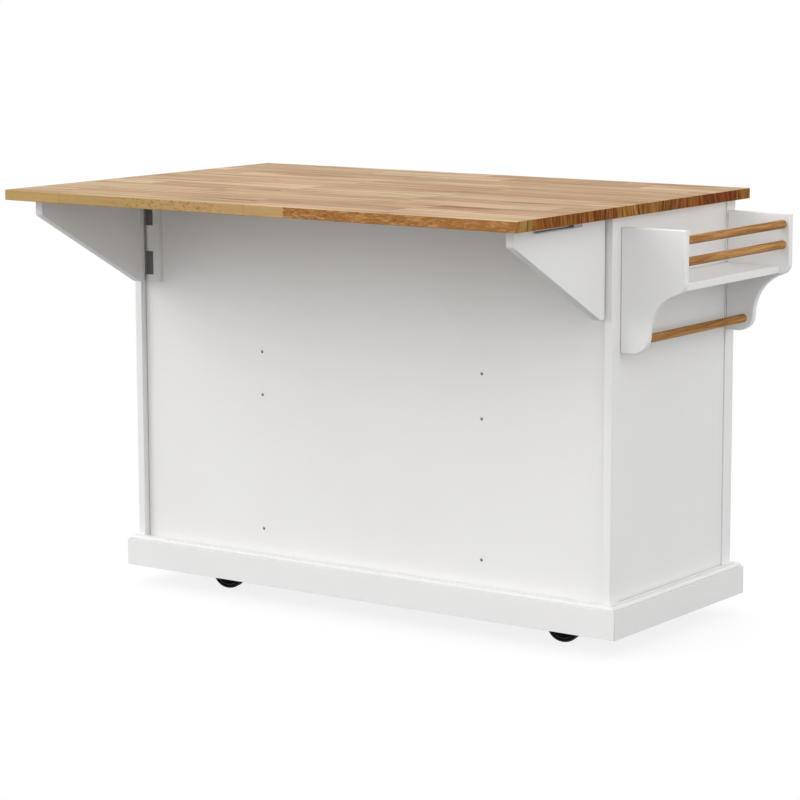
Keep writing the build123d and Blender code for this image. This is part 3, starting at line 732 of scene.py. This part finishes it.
# draws an outline, gives it a length, puts it in place and cuts it off
def addPrism(bm, start, strokes, place, length, soft, segments=3, cuts=()):
    part = bmesh.new()
    pen = bmesh.ops.create_vert(part, co=(*start, 0))["vert"][0]
    for stroke in strokes:
        if len(stroke) == 2:  # a straight run to this point
            pen = bmesh.ops.extrude_vert_indiv(part, verts=[pen])["verts"][0]
            pen.co = (*stroke, 0)
        else:  # an arc to the point (u, v) round a centre
            end, centre = Vector((*stroke[:2], 0)), Vector((*stroke[2], 0))
            fromHere, toThere = pen.co - centre, end - centre
            sweep = math.atan2(fromHere.cross(toThere).z, fromHere.dot(toThere))
            spun = bmesh.ops.spin(
                part,
                geom=[pen],
                cent=centre,
                axis=(0, 0, 1),
                angle=sweep,
                steps=max(4, int(abs(sweep) / shaping["arcStep"])),
                use_duplicate=False,
            )
            pen = spun["geom_last"][0]
    bmesh.ops.remove_doubles(part, verts=part.verts, dist=shaping["weld"])
    bmesh.ops.contextual_create(part, geom=part.edges[:])
    made = bmesh.ops.extrude_face_region(part, geom=part.faces[:])["geom"]
    raised = [item for item in made if isinstance(item, bmesh.types.BMVert)]
    bmesh.ops.translate(part, verts=raised, vec=(0, 0, length))
    bmesh.ops.transform(part, matrix=place, verts=part.verts)
    for point, normal in cuts:
        bmesh.ops.bisect_plane(
            part,
            geom=part.verts[:] + part.edges[:] + part.faces[:],
            plane_co=point,
            plane_no=normal,
            clear_outer=True,
        )
        rims = [edge for edge in part.edges if edge.is_boundary]
        bmesh.ops.holes_fill(part, edges=rims)
    bmesh.ops.recalc_face_normals(part, faces=part.faces)
    softenEdges(part, soft, segments)
    joinPart(bm, part)


# turns an outline of (radius, reach along the axis) about the axis
def addTurned(bm, centre, axis, outline, steps):
    centre, axis = Vector(centre), Vector(axis).normalized()
    side = axis.orthogonal().normalized()
    part = bmesh.new()
    pen = None
    for radius, reach in outline:
        if pen is None:
            pen = bmesh.ops.create_vert(part, co=centre)["vert"][0]
        else:
            pen = bmesh.ops.extrude_vert_indiv(part, verts=[pen])["verts"][0]
        pen.co = centre + side * radius + axis * reach
    bmesh.ops.spin(
        part,
        geom=part.verts[:] + part.edges[:],
        cent=centre,
        axis=axis,
        angle=math.tau,
        steps=steps,
        use_merge=True,
    )
    bmesh.ops.remove_doubles(part, verts=part.verts, dist=shaping["turnedWeld"])
    bmesh.ops.recalc_face_normals(part, faces=part.faces)
    joinPart(bm, part)


def copySolid(name, soft, unwanted=None):  # a node's own shape, with softened edges
    part = bmesh.new()
    part.from_mesh(nodes[name].data)
    bmesh.ops.remove_doubles(part, verts=part.verts, dist=shaping["copyWeld"])
    if unwanted:
        dropped = [vert for vert in part.verts if unwanted(vert.co)]
        bmesh.ops.delete(part, geom=dropped, context="VERTS")
    bmesh.ops.dissolve_limit(
        part,
        angle_limit=math.radians(shaping["copyFlat"]),
        verts=part.verts,
        edges=part.edges,
    )
    softenEdges(part, soft, 2, shaping["copySharp"])
    return part


def addCopy(pieceName, name, slotName, soft, *finishNames):
    bm = bmesh.new()
    joinPart(bm, copySolid(name, soft))
    addPiece(pieceName, bm, slotName, (name,), *finishNames)


top = {"soft": 0.0014}


def makeTops():
    for name in ("worktop", "drop_leaf"):
        low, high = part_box(name)
        bm = bmesh.new()
        addBoard(bm, low, high, top["soft"], 4)
        addPiece(name + "Block", bm, "butcher_block", (name,))
    print("worktop and leaf made")


makeTops()

carcass = {
    "post": 0.018,
    "postWidth": 0.035,
    "postSoft": 0.0014,
    "panel": 0.012,
    "panelGap": 0.0008,
    "panelSoft": 0.0010,
    "backGap": 0.0014,
    "backSoft": 0.0006,
    "batten": 0.030,
    "battenSoft": 0.0012,
}


def makeCarcass():
    low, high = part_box("corner_posts")
    thick, width, soft = carcass["post"], carcass["postWidth"], carcass["postSoft"]
    bm = bmesh.new()
    for x in (low.x, high.x - thick):
        for y in (low.y, high.y - width):
            addBoard(bm, (x, y, low.z), (x + thick, y + width, high.z), soft)
    addPiece("cornerPosts", bm, "white_paint", ("corner_posts",))

    low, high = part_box("side_panels")
    thick, gap, soft = carcass["panel"], carcass["panelGap"], carcass["panelSoft"]
    bm = bmesh.new()
    for x in (low.x, high.x - thick):
        near, far = (x, low.y + gap, low.z), (x + thick, high.y - gap, high.z - gap)
        addBoard(bm, near, far, soft)
    addPiece("sidePanels", bm, "white_paint", ("side_panels",))

    low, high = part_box("back_panel")
    gap = carcass["backGap"]
    near, far = (low.x + gap, low.y, low.z), (high.x - gap, high.y, high.z - gap)
    bm = bmesh.new()
    addBoard(bm, near, far, carcass["backSoft"], 2)
    addPiece("backPanel", bm, "white_paint", ("back_panel",))

    low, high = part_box("bracket_battens")
    thick, soft = carcass["batten"], carcass["battenSoft"]
    bm = bmesh.new()
    for x in (low.x, high.x - thick):
        addBoard(bm, (x, low.y, low.z), (x + thick, high.y, high.z), soft)
    addPiece("bracketBattens", bm, "white_paint", ("bracket_battens",))
    print("posts, panels and battens made")


makeCarcass()

plinth = {
    "face": 0.0595,
    "mould": 0.010,
    "step": 0.003,
    "bead": 0.006,
    "ledge": 0.004,
    "lift": 0.002,  # from the top of the face to the bead's curve
    "lowQuirk": (0.0018, 0.0014),  # depth and height of the groove under the bead
    "highQuirk": (0.0012, 0.0010),  # and of the groove above it
    "proud": 0.0215,  # the section is drawn this deep and scaled to each side
    "overrun": 0.03,  # made this much longer at each end, for the mitres
    "soft": 0.0006,
    "mitreGap": 0.0002,
}


def makePlinth():
    low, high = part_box("corner_posts")
    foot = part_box("plinth_front")[0].z
    corners = [(low.x, low.y), (high.x, low.y), (high.x, high.y), (low.x, high.y)]
    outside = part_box("plinth_front")[0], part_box("plinth_back")[1]
    outer = [
        (outside[0].x, outside[0].y),
        (outside[1].x, outside[0].y),
        (outside[1].x, outside[1].y),
        (outside[0].x, outside[1].y),
    ]
    face, deep, overrun = plinth["face"], plinth["proud"], plinth["overrun"]
    crown, beadOut = face + plinth["mould"], deep - plinth["step"]
    beadIn = beadOut - plinth["bead"]
    ledge = beadIn - plinth["ledge"]
    beadLow = face + plinth["lift"]
    beadHigh = beadLow + plinth["bead"]
    lowDeep, lowHigh = plinth["lowQuirk"]
    highDeep, highHigh = plinth["highQuirk"]
    strokes = (
        (deep, 0),
        (deep, face),
        (beadOut - lowDeep, face),
        (beadOut - lowDeep, face + lowHigh),
        (beadOut, face + lowHigh),
        (beadOut, beadLow),
        (beadIn, beadHigh, (beadIn, beadLow)),
        (ledge - highDeep, beadHigh),
        (ledge - highDeep, beadHigh + highHigh),
        (ledge, beadHigh + highHigh),
        (ledge, crown),
        (0, crown),
        (0, 0),
    )
    for i, (name, out) in enumerate(
        (
            ("plinth_front", Vector((0, -1, 0))),
            ("plinth_right", Vector((1, 0, 0))),
            ("plinth_back", Vector((0, 1, 0))),
            ("plinth_left", Vector((-1, 0, 0))),
        )
    ):
        ends = i, (i + 1) % 4
        start, stop = (Vector((*corners[j], 0)) for j in ends)
        along = (stop - start).normalized()
        reach = (Vector((*outer[i], 0)) - start).dot(out)
        origin = start - along * overrun + Vector((0, 0, foot))
        place = axes(origin, out * (reach / deep), (0, 0, 1), along)
        cuts = []
        for j in ends:
            corner, tip = Vector((*corners[j], 0)), Vector((*outer[j], 0))
            normal = (tip - corner).cross(Vector((0, 0, 1))).normalized()
            boardMiddle = (start + stop) / 2 + out * reach / 2
            if (boardMiddle - corner).dot(normal) > 0:
                normal = -normal
            cuts.append((corner - normal * plinth["mitreGap"], normal))
        length = (stop - start).length + 2 * overrun
        bm = bmesh.new()
        addPrism(bm, (0, 0), strokes, place, length, plinth["soft"], 2, cuts)
        addPiece(name + "Board", bm, "white_paint", (name,))
    print("plinth made")


makePlinth()

bracket = {
    "tip": 0.034,
    # the rounded nose under the tip: how far in, and how far above the tip's height
    "nose": ((0.0, 0.0035), (0.0012, 0.0006), (0.0040, -0.0022)),
    "foot": 0.016,
    "round": 0.005,
    "soft": 0.0014,
}


def makeBrackets():
    for name in ("bracket_left", "bracket_right"):
        low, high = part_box(name)
        turnY, turnZ = high.y - bracket["round"], high.z - bracket["round"]
        tip = high.z - bracket["tip"]
        strokes = (
            (turnY, high.z),
            (high.y, turnZ, (turnY, turnZ)),
            *((high.y - inward, tip + rise) for inward, rise in bracket["nose"]),
            (low.y + bracket["foot"], low.z),
            (low.y, low.z),
            (low.y, high.z),
        )
        bm = bmesh.new()
        place = axes((low.x, 0, 0), (0, 1, 0), (0, 0, 1), (1, 0, 0))
        addPrism(bm, (low.y, high.z), strokes, place, high.x - low.x, bracket["soft"])
        addPiece(name + "Arm", bm, "white_paint", (name,))
    print("brackets made")


makeBrackets()

rack = {
    "wall": -0.5635,
    "top": 0.924,
    "thick": 0.015,
    "depth": 0.148,
    "topDrop": 0.045,
    "bottomDrop": 0.299,
    "shoulder": 0.150,  # drop where the shoulder starts to turn in
    "turn": (0.130, 0.1735),
    "waist": (0.065, 0.262),
    "foot": 0.037,
    "soft": 0.0018,
    "shelfSoft": 0.0014,
    "wallGap": 0.0008,
}


def makeRack():
    low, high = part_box("rack_panels")
    depth, waist, turn = rack["depth"], rack["waist"], rack["turn"]
    fall, inward = turn[1] - rack["shoulder"], depth - turn[0]
    small = (fall**2 + inward**2) / (2 * inward)
    climb, spread = waist[1] - turn[1], turn[0] - waist[0]
    hollow = (climb**2 + spread**2) / (2 * spread)
    gap = rack["wallGap"]
    strokes = (
        (depth, rack["topDrop"]),
        (depth, rack["shoulder"]),
        (*turn, (depth - small, rack["shoulder"])),
        (*waist, (waist[0] + hollow, waist[1])),
        (waist[0] - rack["foot"], rack["bottomDrop"], (waist[0] - rack["foot"], waist[1])),
        (gap, rack["bottomDrop"]),
        (gap, rack["topDrop"]),
    )
    bm = bmesh.new()
    for y in (low.y, high.y - rack["thick"]):
        place = axes((rack["wall"], y, rack["top"]), (-1, 0, 0), (0, 0, -1), (0, 1, 0))
        addPrism(bm, (gap, rack["topDrop"]), strokes, place, rack["thick"], rack["soft"])
    addPiece("rackPanels", bm, "white_paint", ("rack_panels",))

    low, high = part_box("rack_shelf")
    bm = bmesh.new()
    addBoard(bm, low, (high.x - gap, high.y, high.z), rack["shelfSoft"])
    addPiece("rackShelf", bm, "white_paint", ("rack_shelf",))
    print("rack made")


makeRack()

rail = {
    "radius": 0.009,
    "tenon": 0.0074,
    "socket": 0.007,
    # rings of the rounded shoulder: how far inside the radius, and how far in from the socket
    "shoulder": ((0.0009, 0.0003), (0.0003, 0.0010), (0.0, 0.0022), (0.0, 0.030)),
    "ring": 0.33,  # one more ring at this share of the half length
    "steps": 40,
}


def makeRails():
    full, tenon = rail["radius"], rail["tenon"]
    for node, piece in (("rack_rails", "rackRails"), ("towel_bar", "towelBar")):
        low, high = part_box(node)
        x, y = (low.x + high.x) / 2, (low.y + high.y) / 2
        heights = [low.z + full, high.z - full] if node == "rack_rails" else [low.z + full]
        reach = (high.y - low.y) / 2
        wall = reach - rail["socket"]
        half = (
            (0, reach),
            (tenon, reach),
            (tenon, wall),
            *((full - inward, wall - along) for inward, along in rail["shoulder"]),
            (full, wall * rail["ring"]),
        )
        outline = half + tuple((radius, -place) for radius, place in reversed(half))
        bm = bmesh.new()
        for z in heights:
            addTurned(bm, (x, y, z), (0, 1, 0), outline, rail["steps"])
        addPiece(piece, bm, "rail_wood", (node,), flatOver=1)
    print("rails made")


makeRails()

screw = {
    "radius": 0.0036,
    "proud": 0.0013,
    "neck": 0.0003,
    "shank": 0.0016,
    "length": 0.014,
    "seat": 0.054,  # the outside of the back panel
    "middle": 0.463,  # height of the middle row
    "steps": 24,
    # the head: shares of its radius and of how proud it is
    "dome": (
        (0, 0.30),
        (0.16, 0.36),
        (0.32, 0.96),
        (0.55, 0.84),
        (0.78, 0.58),
        (0.94, 0.28),
        (1, 0.05),
    ),
    "cross": 0.0003,  # half width
    "crossReach": (0.0008, 0.0022),
    "crossDepth": 0.45,  # share of how proud the head is
    "dark": 0.00168,  # radius of the dark middle, which is painted shade
    "shadeShare": 0.5,  # share of the radius beyond which the lower rim is dark: painted shade
}


def makeScrews():
    low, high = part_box("wood_screws")
    radius, proud, seat = screw["radius"], screw["proud"], screw["seat"]
    crossFrom, crossTo = screw["crossReach"]
    outline = (
        *((radius * out, proud * rise) for out, rise in screw["dome"]),
        (radius, -screw["neck"]),
        (screw["shank"], -screw["neck"]),
        (screw["shank"], -screw["length"]),
        (0, -screw["length"]),
    )
    bm = bmesh.new()
    for x in (low.x + radius, high.x - radius):
        for z in (low.z + radius, screw["middle"], high.z - radius):
            part = bmesh.new()
            addTurned(part, (x, seat, z), (0, 1, 0), outline, screw["steps"])
            for vert in part.verts:
                across, rise = vert.co.x - x, vert.co.z - z
                inCross = min(abs(across), abs(rise)) < screw["cross"]
                reach = math.hypot(across, rise)
                if inCross and crossFrom < reach < crossTo and vert.co.y > seat:
                    vert.co.y -= proud * screw["crossDepth"]
            # painted shade: the middle of each head and its lower rim on the -x side take the
            # dark steel
            for facet in part.faces:
                spot = facet.calc_center_median()
                reach = math.hypot(spot.x - x, spot.z - z)
                shadedSide = (x - spot.x) - (spot.z - z) > radius * screw["shadeShare"]
                facet.material_index = int(reach < screw["dark"] or shadedSide)
            joinPart(bm, part)
    addPiece("backScrews", bm, "steel", ("wood_screws",), "steel", "bracketSteel")
    print("screws made")


makeScrews()

door = {
    "stile": 0.050,
    "soft": 0.0014,
    "drawerSoft": 0.0016,
    "panelFront": 0.0010,  # set back of the moulding's outer edge
    "panelBack": 0.0130,
    # inset and depth of each step of the moulded edge
    "steps": (
        (0.0015, 0.0),
        (0.0010, -0.0014),
        (0.0016, -0.0008),
        (0.0018, -0.0004),
        (0.0016, -0.0009),
        (0.0009, -0.0013),
        (0.0022, -0.0003),
    ),
}


def makeDoors():
    stile, soft = door["stile"], door["soft"]
    for name in ("door_left", "door_centre_left", "door_centre_right", "door_right"):
        low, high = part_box(name)
        fromX, toX = low.x + stile, high.x - stile
        fromZ, toZ = low.z + stile, high.z - stile
        bm = bmesh.new()
        for left, right in ((low.x, fromX), (toX, high.x)):
            addBoard(bm, (left, low.y, low.z), (right, high.y, high.z), soft)
        for under, over in ((low.z, fromZ), (toZ, high.z)):
            addBoard(bm, (fromX, low.y, under), (toX, high.y, over), soft)
        near, far = low.y + door["panelFront"], low.y + door["panelBack"]
        part = newBox((fromX, near, fromZ), (toX, far, toZ))
        front = min(part.faces, key=lambda item: item.calc_center_median().y)
        for inset, depth in door["steps"]:
            bmesh.ops.inset_individual(
                part, faces=[front], thickness=inset, depth=depth, use_even_offset=True
            )
        joinPart(bm, part)
        addPiece(name + "Panelled", bm, "white_paint", (name,))
    for name in ("drawer_left_front", "drawer_right_front"):
        bm = bmesh.new()
        addBoard(bm, *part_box(name), door["drawerSoft"])
        addPiece(name + "Board", bm, "white_paint", (name,))
    print("doors and drawer fronts made")


makeDoors()

knob = {
    "fromEdge": 0.026,
    "doorHeight": 0.620,
    "clear": 0.0165,  # radius round the node's plain knob, which goes
    "clearBehind": 0.0001,  # and it goes this far behind the face
    "restSoft": 0.0002,  # edges of the rest of the node
    "steps": 40,
    "outline": (
        (0.0, 0.0002),
        (0.0090, 0.0002),
        (0.0090, 0.0012),
        (0.0078, 0.0026),
        (0.0064, 0.0054),
        (0.0059, 0.0090),
        (0.0068, 0.0122),
        (0.0102, 0.0148),
        (0.0136, 0.0168),
        (0.0149, 0.0192),
        (0.0147, 0.0214),
        (0.0128, 0.0236),
        (0.0086, 0.0247),
        (0.0040, 0.0250),
        (0.0, 0.0250),
    ),
}


# how much the edges of the metal pieces are softened
metalSoft = {
    "door_hinge_plates": 0.0002,
    "leaf_hinge_plates": 0.0003,
    "leaf_hinge_flaps": 0.0003,
    "drawer_channels": 0.0002,
}
bracketHinge = {"soft": 0.0003, "paintFrom": 0.0744}  # painted from this y outwards
leafStop = {"soft": 0.0006}


def makeFittings():
    places = {}
    for name, free in (
        ("door_left", 1),
        ("door_centre_left", 1),
        ("door_centre_right", -1),
        ("door_right", -1),
    ):
        low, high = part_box(name)
        edge = high.x if free > 0 else low.x
        places[name + "_fittings"] = (edge - free * knob["fromEdge"], knob["doorHeight"], low.y)
    for side in ("left", "right"):
        low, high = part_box(f"drawer_{side}_front")
        places[f"drawer_{side}_fittings"] = ((low.x + high.x) / 2, (low.z + high.z) / 2, low.y)
    for name, (x, z, face) in places.items():

        def inKnob(spot):
            near = math.hypot(spot.x - x, spot.z - z) < knob["clear"]
            return near and spot.y < face + knob["clearBehind"]

        bm = bmesh.new()
        joinPart(bm, copySolid(name, knob["restSoft"], inKnob))
        addTurned(bm, (x, face, z), (0, -1, 0), knob["outline"], knob["steps"])
        addPiece(name + "Set", bm, "steel", (name,))
    for name, soft in metalSoft.items():
        addCopy(name + "Metal", name, "steel", soft)
    soft = bracketHinge["soft"]
    # the wall plates are all dark steel: painted shade
    addCopy("bracketHingePlates", "bracket_hinge_plates", "steel", soft, "bracketSteel")
    for name in ("bracket_left_hinges", "bracket_right_hinges"):
        bm = bmesh.new()
        joinPart(bm, copySolid(name, soft))
        # the knuckles, nearer than paintFrom, take the dark steel as painted shade in the joint
        for facet in bm.faces:
            inward = facet.calc_center_median().y < bracketHinge["paintFrom"]
            facet.material_index = int(inward)
        addPiece(name + "Painted", bm, "white_paint", (name,), "white_paint", "bracketSteel")
    addCopy("leafStops", "leaf_stops", "dark_steel", leafStop["soft"])
    print("knobs, hinges and leaf stops made")


makeFittings()

wheel = {
    "steps": 72,
    "ribs": 8,
    "ribReach": (0.0095, 0.0272),
    "ribHalf": 0.0012,  # half thickness
    "ribFaces": (0.0070, 0.0100),  # from the middle of the wheel
    "ribSoft": 0.0004,
    "rings": ((0.0092, 0.0100), (0.0278, 0.0290), (0.0352, 0.0366)),  # pale: painted highlight on the hub and rims
    "ringsFrom": 0.0100,  # from the middle of the wheel
    # radius and half width, from the bore outwards
    "section": (
        (0.00406, 0.0127),
        (0.0092, 0.0127),
        (0.0100, 0.0121),
        (0.0100, 0.0100),
        (0.0112, 0.0084),
        (0.0250, 0.0080),
        (0.0268, 0.0092),
        (0.0278, 0.0112),
        (0.0290, 0.0117),
        (0.0296, 0.0108),
        (0.0304, 0.0106),
        (0.0311, 0.0117),
        (0.0344, 0.0118),
        (0.0362, 0.0110),
        (0.0371, 0.0096),
        (0.0375, 0.0078),
        (0.0375, 0.0030),
    ),
}

bolt = {
    "spread": 0.0215,
    "seat": 0.097,
    "sides": 6,
    "outline": (
        (0, -0.001),
        (0.0058, -0.001),
        (0.0058, 0.0006),
        (0.0044, 0.0007),
        (0.0042, 0.0026),
        (0.0036, 0.0030),
        (0, 0.0030),
    ),
}
casterSoft = {"fork": 0.0005, "brake": 0.0005, "plates": 0.0004}


def addWheel(corner, centre, axle):
    section, half = wheel["section"], wheel["ribHalf"]
    ribFrom, ribTo = wheel["ribReach"]
    loop = section + tuple((radius, -place) for radius, place in reversed(section))
    bm = bmesh.new()
    addTurned(bm, centre, axle, loop + (section[0],), wheel["steps"])
    side = axle.cross(Vector((0, 0, 1))).normalized()
    place = axes(centre, side, axle, side.cross(axle))
    for i in range(wheel["ribs"]):
        turn = Matrix.Rotation(math.tau * i / wheel["ribs"], 4, axle)
        spin = Matrix.Translation(centre) @ turn @ Matrix.Translation(-centre)
        for face in (-1, 1):
            near, far = sorted(face * away for away in wheel["ribFaces"])
            ends = (ribFrom, near, -half), (ribTo, far, half)
            addBoard(bm, *ends, wheel["ribSoft"], 2, spin @ place)
    # the pale rings on the hub face and the rims are painted highlight
    for facet in bm.faces:
        spot = facet.calc_center_median() - centre
        reach = (spot - axle * spot.dot(axle)).length
        onRing = any(low < reach < high for low, high in wheel["rings"])
        facet.material_index = int(onRing and abs(spot.dot(axle)) > wheel["ringsFrom"])
    node, looks = f"caster_wheel_{corner}", ("black_wheel", "wheelRing")
    addPiece(f"wheel_{corner}_moulded", bm, "black_wheel", (node,), *looks)


def makeCasters():
    joints = {joint["name"]: joint for joint in frame["record"]["behaviour"]["joints"]}
    corners = ("back_left", "back_right", "front_left", "front_right")
    for corner in corners:
        joint = joints[f"wheel_{corner}_roll"]
        addWheel(corner, Vector(joint["pos_m"]), Vector(joint["axis"]).normalized())
        fork = f"caster_fork_{corner}"
        addCopy(f"fork_{corner}_pressed", fork, "steel", casterSoft["fork"])
    for side in ("left", "right"):
        brake = f"caster_brake_front_{side}"
        addCopy(f"brake_front_{side}_pedal", brake, "black_plastic", casterSoft["brake"])
    bm = bmesh.new()
    joinPart(bm, copySolid("caster_plates", casterSoft["plates"]))
    spread = (-bolt["spread"], bolt["spread"])
    for corner in corners:
        pivot = Vector(joints[f"caster_{corner}_swivel"]["pos_m"])
        for x in spread:
            for y in spread:
                spot = (pivot.x + x, pivot.y + y, bolt["seat"])
                addTurned(bm, spot, (0, 0, -1), bolt["outline"], bolt["sides"])
    addPiece("casterPlates", bm, "steel", ("caster_plates",))
    print("casters made")


makeCasters()

# how much the edges of the boards inside are softened
paintedSoft = {
    "back_rails": 0.0008,
    "back_sill": 0.0006,
    "bottom_panel": 0.0006,
    "face_frame": 0.0006,
    "partitions": 0.0006,
    "shelves": 0.0008,
    "shelf_cleats": 0.0005,
}
paleSoft = {"drawer_left_box": 0.0006, "drawer_right_box": 0.0006, "drawer_spacers": 0.0006}
catch = {"soft": 0.0005}


def makeInner():
    for name, soft in paintedSoft.items():
        addCopy(name + "Boards", name, "white_paint", soft)
    for name, soft in paleSoft.items():
        addCopy(name + "Boards", name, "drawer_wood", soft)
    addCopy("doorCatches", "door_catches", "white_plastic", catch["soft"])
    print("inner boards made")


makeInner()
